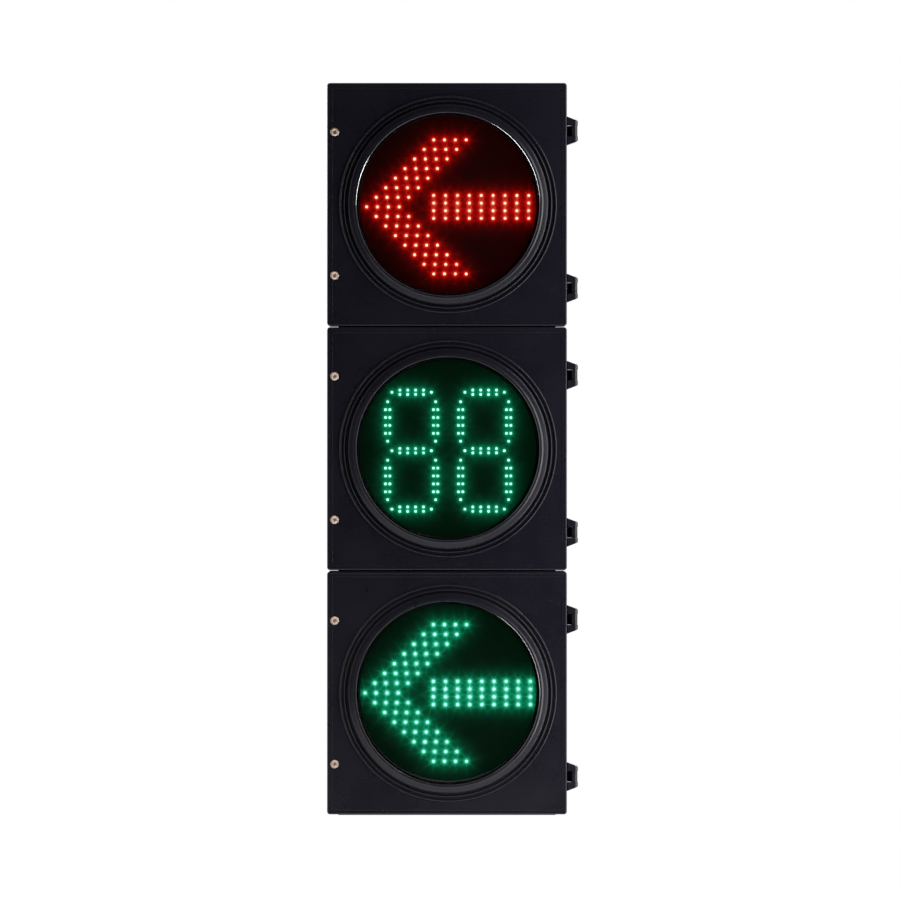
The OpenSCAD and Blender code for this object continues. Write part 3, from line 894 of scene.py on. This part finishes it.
def screw_head(side, section, material):
    """A turned pan head over a door screw's CAD head: rounded rim, flat ring and a driver recess
    whose edge swells four times in a turn, radius = 3.2 mm + 0.7 mm cos 4a."""
    low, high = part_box(f"screw_{side}_{section}")
    centre = ((low.x + high.x) / 2, (low.z + high.z) / 2)
    radius, front, steps = (high.x - low.x) / 2, -low.y, 64
    angle = np.linspace(0, 2 * math.pi, steps, endpoint=False)
    recess = (3.2 + 0.7 * np.cos(4 * angle + 1.4)) * MM
    # each row: share of the recess, share of the head's radius, height in mm, darkening (darker and browner
    # in the recess and round the rim)
    rows = (
        (0.03, 0.0, 0.06, 1.0),
        (0.45, 0.0, 0.08, 1.0),
        (0.86, 0.0, 0.25, 1.0),
        (1.0, 0.0, 0.72, 0.7),
        (1.0, 0.03, 0.85, 0.15),
        (0.0, 0.70, 0.85, 0.0),
        (0.0, 0.90, 0.72, 0.0),
        (0.0, 0.985, 0.40, 0.1),
        (0.0, 1.01, 0.0, 0.5),
        (0.0, 1.01, -0.8, 0.8),
    )
    points = np.empty((len(rows), steps, 3))
    for number, (inner, outer, height, _) in enumerate(rows):
        reach = inner * recess + outer * radius
        points[number, :, 0] = centre[0] + reach * np.cos(angle)
        points[number, :, 1] = -front - height * MM
        points[number, :, 2] = centre[1] + reach * np.sin(angle)
    last = (len(rows) - 1) * steps
    caps = [tuple(range(steps)), tuple(range(last, last + steps))[::-1]]
    faces = grid_faces(len(rows), steps)[:, ::-1]
    piece = add_piece(
        f"screw_head_{side}_{section}",
        points,
        faces,
        f"screw_{side}_{section}",
        material,
        extra=caps,
    )
    attribute = piece.data.attributes.new("recess_rim_darkening", "FLOAT", "POINT")
    attribute.data.foreach_set("value", np.repeat([row[3] for row in rows], steps).astype(np.float32))


class SIGNAL_OT_fasteners(bpy.types.Operator):
    """Gives the door screws, rings, hinge pins and coupling bolts rounded edges and metal finishes."""

    bl_idname = "signal.fasteners"
    bl_label = "Fasteners"

    def execute(self, context):
        width = context.scene.head_sizes.small_edge
        head_metal = screw_head_material(context.scene.head_colours.nickel)
        for section in SECTIONS:
            for side in ("upper", "lower"):
                softened_copy(
                    f"screw_{side}_{section}",
                    f"door_screw_{side}_{section}",
                    width,
                    finish_named("nickel_screw"),
                )
                screw_head(side, section, head_metal)
            softened_copy(
                f"hinge_pins_{section}",
                f"hinge_pin_pair_{section}",
                width,
                finish_named("pin_steel"),
            )
        for node in ("coupling_bolts", "coupling_nuts", "coupling_washers"):
            softened_copy(node, f"{node}_plated", width, finish_named("zinc_steel"))
        return {"FINISHED"}


class SIGNAL_OT_wiring(bpy.types.Operator):
    """Builds each lead as a fixed tube with bends along its way; it does not follow the door when it swings.
    """

    bl_idname = "signal.wiring"
    bl_label = "Wiring"

    def execute(self, context):
        sizes = context.scene.head_sizes
        jacket = finish_named("cable_jacket")
        for section in SECTIONS:
            low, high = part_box(f"lead_{section}")
            y = high.y - sizes.wire_radius
            left, right = low.x + sizes.wire_radius, high.x - sizes.wire_radius
            bottom, top = low.z + sizes.wire_radius, high.z
            start = low.y
            knots = [
                (left, start, bottom),
                (left, y - 5 * MM, bottom),
                (left + 6 * MM, y, bottom),
                (left + 60 * MM, y, bottom - 6 * MM),
                (right - 60 * MM, y - 1 * MM, bottom + 4 * MM),
                (right - 14 * MM, y, bottom + 6 * MM),
                (right, y, bottom + 24 * MM),
                (right - 3 * MM, y, (bottom + top) / 2),
                (right, y, top - 20 * MM),
                (right, y, top),
            ]
            points, faces, caps = tube(smooth_path(knots, 10), sizes.wire_radius, 14)
            piece = add_piece(
                f"module_lead_{section}", points, faces, None, jacket, extra=caps
            )
            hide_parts(f"lead_{section}")
            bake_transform(piece)
        return {"FINISHED"}


class SIGNAL_OT_finishes(bpy.types.Operator):
    """Gives every CAD node that stays visible its procedural finish."""

    bl_idname = "signal.finishes"
    bl_label = "Finishes"

    def execute(self, context):
        slots = {entry["node"]: entry["material_slot"] for entry in frame["record"]["subparts"]}
        for name, node in frame["nodes"].items():
            slot = slots[name]
            if slot in FINISHES:
                node.data.materials.clear()
                node.data.materials.append(finish_named(slot))
        return {"FINISHED"}


class SIGNAL_OT_stage(bpy.types.Operator):
    """Sets the pale floor, the soft studio light and the camera."""

    bl_idname = "signal.stage"
    bl_label = "Stage"

    def execute(self, context):
        scene = context.scene
        scene.view_settings.view_transform = "Standard"
        low, high = Vector(CAD_BOX[0]), Vector(CAD_BOX[1])
        floor_mesh = bpy.data.meshes.new("floor")
        # the floor lies below the head, which its lower mount holds up
        half, level = 3.0, -0.45
        floor_mesh.from_pydata(
            [(-half, -half, level), (half, -half, level), (half, half, level), (-half, half, level)],
            [],
            [(0, 1, 2, 3)],
        )
        material, tree = new_material("pale_floor")
        shader = add_node(
            tree, "ShaderNodeBsdfPrincipled", {"Base Color": linear("#f4f4f4"), "Roughness": 0.9}
        )
        finish_material(tree, shader)
        floor_mesh.materials.append(material)
        floor = bpy.data.objects.new("floor", floor_mesh)
        scene.collection.objects.link(floor)

        world = bpy.data.worlds.new("studio")
        scene.world = world
        world.use_nodes = True
        tree = world.node_tree
        tree.nodes.clear()
        direction = add_node(tree, "ShaderNodeTexCoord").outputs["Generated"]
        parts = add_node(tree, "ShaderNodeSeparateXYZ", links={"Vector": direction})
        # the room is dark in front of the head, light to its sides and white behind it
        sides = add_node(
            tree,
            "ShaderNodeMapRange",
            {"From Min": -0.95, "From Max": 0.0, "To Min": 0.0, "To Max": 1.0},
            {"Value": parts.outputs["Y"]},
        )
        curve = add_node(tree, "ShaderNodeMath", {1: 3.2}, {0: sides.outputs["Result"]}, operation="POWER")
        ray = add_node(tree, "ShaderNodeLightPath")
        strength = add_node(
            tree,
            "ShaderNodeMix",
            {3: 1.0},
            {0: ray.outputs["Is Camera Ray"], 2: curve.outputs[0]},
        )
        background = add_node(
            tree,
            "ShaderNodeBackground",
            {"Color": (1, 1, 1, 1)},
            {"Strength": strength.outputs[0]},
        )
        add_node(tree, "ShaderNodeOutputWorld", links={"Surface": background.outputs[0]})

        middle = (low + high) / 2
        # each light: place, aim, width, height, power in watts, and the pieces it is kept to
        lens_top, lens_bottom = (Vector((0.0, -0.08, section_centre(name)[1])) for name in ("top", "bottom"))
        screws = [
            f"{piece}_{side}_{section}"
            for piece in ("door_screw", "screw_head")
            for side in ("upper", "lower")
            for section in SECTIONS
        ]
        lights = (
            ("right_strip", (1.0, -0.50, 0.85), middle, 0.32, 2.4, 16.0, ()),
            ("left_strip", (-1.1, -0.22, 0.85), middle, 0.3, 2.4, 4.0, ()),
            ("back_box", (-2.0, 3.2, 2.4), middle, 2.0, 2.0, 60, ()),
            ("screw_catch", (-0.25, -2.5, 0.85), Vector((-0.25, -0.07, 0.85)), 0.7, 2.2, 8.0, screws),
            ("rim_catch_left", (-0.60, -0.165, 1.04), lens_top, 0.06, 0.77, 10.0, ["lens_rim_top"]),
            ("rim_catch_right", (0.60, -0.165, 1.25), lens_top, 0.06, 0.31, 4.5, ["lens_rim_top"]),
            ("rim_catch_low", (-0.45, -0.150, 0.03), lens_bottom, 0.06, 0.58, 4.5, ["lens_rim_bottom"]),
        )
        for name, place, aim, wide, tall, power, kept_to in lights:
            light = bpy.data.lights.new(name, "AREA")
            light.shape = "RECTANGLE"
            light.size, light.size_y = wide, tall
            light.energy = power
            lamp = bpy.data.objects.new(name, light)
            scene.collection.objects.link(lamp)
            lamp.location = place
            lamp.visible_camera = False
            lamp.rotation_mode = "QUATERNION"
            lamp.rotation_quaternion = (aim - Vector(place)).to_track_quat("-Z", "Y")
            if kept_to:
                group = bpy.data.collections.new(name)
                for piece in kept_to:
                    group.objects.link(bpy.data.objects[piece])
                lamp.light_linking.receiver_collection = group

        camera = bpy.data.cameras.new("camera")
        camera.sensor_width = 36
        distance, shown = 12.0, 2.026
        camera.lens = camera.sensor_width * distance / shown
        camera.clip_end = 100
        viewer = bpy.data.objects.new("camera", camera)
        scene.collection.objects.link(viewer)
        viewer.location = (6.8 * MM, -0.07 - distance, 0.8235)
        viewer.rotation_euler = (math.pi / 2, 0, 0)
        scene.camera = viewer
        return {"FINISHED"}


class SIGNAL_PT_panel(bpy.types.Panel):
    """Lists the steps that build the signal head."""

    bl_idname = "SIGNAL_PT_panel"
    bl_label = "Signal head"
    bl_space_type = "VIEW_3D"
    bl_region_type = "UI"
    bl_category = "Signal head"

    def draw(self, context):
        for operator in STEPS:
            self.layout.operator(operator.bl_idname)
        for group in (context.scene.head_sizes, context.scene.head_colours):
            box = self.layout.box()
            for name in group.__annotations__:
                box.prop(group, name)


STEPS = (
    SIGNAL_OT_finishes,
    SIGNAL_OT_castings,
    SIGNAL_OT_borders,
    SIGNAL_OT_bezels,
    SIGNAL_OT_lenses,
    SIGNAL_OT_lamps,
    SIGNAL_OT_fasteners,
    SIGNAL_OT_wiring,
    SIGNAL_OT_stage,
)
CLASSES = (HeadSizes, HeadColours, *STEPS, SIGNAL_PT_panel)


def register():
    for entry in CLASSES:
        bpy.utils.register_class(entry)
    bpy.types.Scene.head_sizes = PointerProperty(type=HeadSizes)
    bpy.types.Scene.head_colours = PointerProperty(type=HeadColours)


def unregister():
    del bpy.types.Scene.head_sizes
    del bpy.types.Scene.head_colours
    for entry in reversed(CLASSES):
        bpy.utils.unregister_class(entry)


def main():
    register()
    bpy.ops.signal.finishes()
    bpy.ops.signal.castings()
    bpy.ops.signal.borders()
    bpy.ops.signal.bezels()
    bpy.ops.signal.lenses()
    bpy.ops.signal.lamps()
    bpy.ops.signal.fasteners()
    bpy.ops.signal.wiring()
    bpy.ops.signal.stage()


if __name__ == "__main__":
    main()
